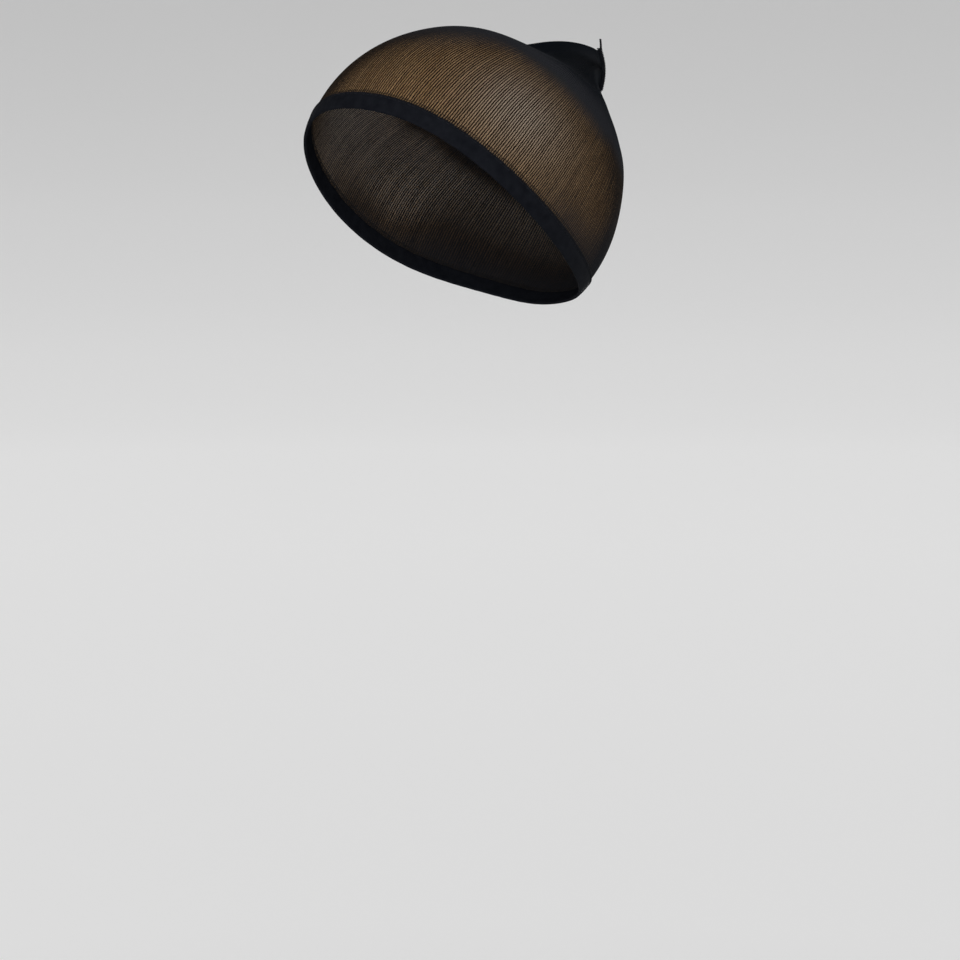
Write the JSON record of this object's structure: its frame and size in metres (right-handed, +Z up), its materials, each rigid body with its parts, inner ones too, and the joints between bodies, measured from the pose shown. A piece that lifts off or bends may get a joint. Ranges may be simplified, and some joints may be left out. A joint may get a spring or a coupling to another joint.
{
  "type": "nylon wig cap",
  "caption": "Sheer stretch-knit nylon wig cap in its worn form, with an elastic edge band and a slack pouch closed by an overlocked seam.",
  "frame": {"origin": "where the top of the head bears on the inside of the crown, in the cap's middle plane", "axes": "+Z up, +Y towards the pouch at the back of the head and -Y towards the face, +X towards the head's left side; the head leaves along -Z"},
  "size_m": [0.152, 0.2007, 0.1506],
  "materials": {
    "sheer_knit": "sheer nylon knit",
    "elastic_band": "dense elastic knit",
    "seam_thread": "overlocked thread"
  },
  "bodies": {
    "root": {"crown": "sheer_knit", "hem_band": "elastic_band", "closing_seam": "seam_thread"}
  },
  "joints": []
}
